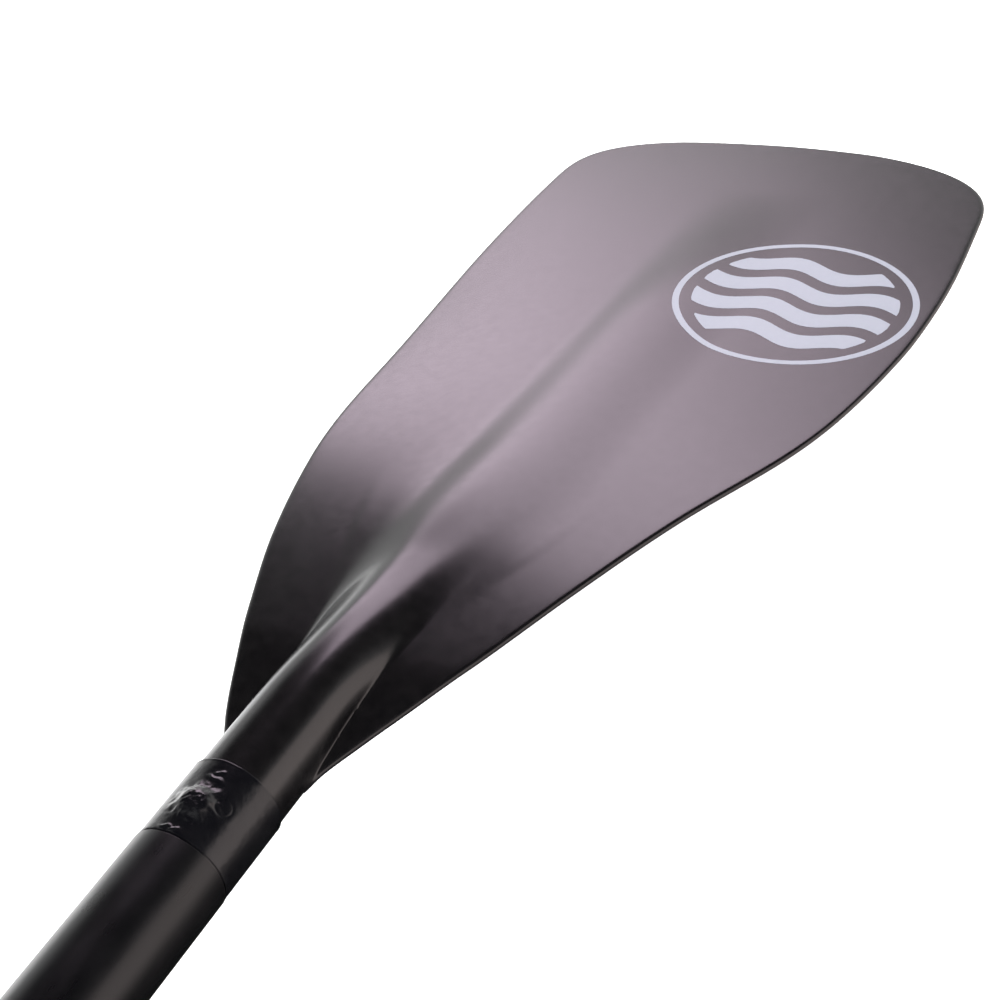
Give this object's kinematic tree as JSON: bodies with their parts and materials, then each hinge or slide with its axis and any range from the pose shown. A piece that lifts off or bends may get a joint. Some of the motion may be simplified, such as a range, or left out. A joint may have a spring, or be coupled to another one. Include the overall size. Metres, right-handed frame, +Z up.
{
  "type": "kayak paddle",
  "caption": "Double-bladed kayak paddle in two halves, with raked spined blades, riveted necks and a lever-clamp ferrule that sets length and feather.",
  "frame": {"origin": "middle of the paddle's length, on the surface that the paddle lies on", "axes": "+X along the shaft towards the right blade, +Z up out of the blades' backs, +Y towards the blades' fuller edge"},
  "size_m": [2.2, 0.1969, 0.0588],
  "materials": {
    "blade_plastic": "smooth black moulded plastic with a soft gloss",
    "insert_plastic": "black glass-filled plastic",
    "rivet_metal": "satin",
    "shrink_film": "glossy black heat-shrink film, wrinkled round the rivet",
    "tube_metal": "drawn tube, satin",
    "cover_plastic": "matte black sleeve",
    "foam": "closed-cell foam",
    "soft_rubber": "soft black rubber",
    "clamp_plastic": "black glass-filled plastic, fine texture",
    "steel": "stainless steel",
    "ferrule_plastic": "ground fibreglass tube"
  },
  "bodies": {
    "left_half": {"blade_left": "blade_plastic", "neck_insert_left": "insert_plastic", "blade_rivet_left": "rivet_metal", "joint_sleeve_left": "shrink_film", "shaft_tube_left": "tube_metal", "shaft_cover_left": "cover_plastic", "foam_plug_left": "foam", "clamp_collar": "clamp_plastic", "clamp_bolt": "steel", "barrel_pin": "steel", "cam_washer": "steel", "index_ring_screw": "steel"},
    "lever": {"clamp_lever": "clamp_plastic"},
    "drip_left": {"drip_ring_left": "soft_rubber"},
    "feather_ring": {"index_ring": "clamp_plastic"},
    "right_half": {"ferrule_tube": "ferrule_plastic", "ferrule_plug": "insert_plastic", "ferrule_seal": "soft_rubber", "stop_collar": "clamp_plastic", "shaft_tube_right": "tube_metal", "shaft_cover_right": "cover_plastic", "foam_plug_right": "foam", "blade_right": "blade_plastic", "neck_insert_right": "insert_plastic", "blade_rivet_right": "rivet_metal", "joint_sleeve_right": "shrink_film"},
    "drip_right": {"drip_ring_right": "soft_rubber"}
  },
  "joints": [
    {"name": "lever_turn", "type": "hinge", "parent": "left_half", "child": "lever", "pos_m": [-0.022, -0.01705, 0.05177], "axis": [-1, 0, 0], "range_deg": [0, 150]},
    {"name": "drip_slide_left", "type": "slide", "parent": "left_half", "child": "drip_left", "axis": [1, 0, 0], "range_m": [-0.12, 0.12]},
    {"name": "feather_turn", "type": "hinge", "parent": "left_half", "child": "feather_ring", "pos_m": [0, 0, 0.02777], "axis": [1, 0, 0], "range_deg": [-90, 90]},
    {"name": "length_slide", "type": "slide", "parent": "feather_ring", "child": "right_half", "axis": [1, 0, 0], "range_m": [0, 0.15]},
    {"name": "drip_slide_right", "type": "slide", "parent": "right_half", "child": "drip_right", "axis": [1, 0, 0], "range_m": [-0.12, 0.12]}
  ]
}
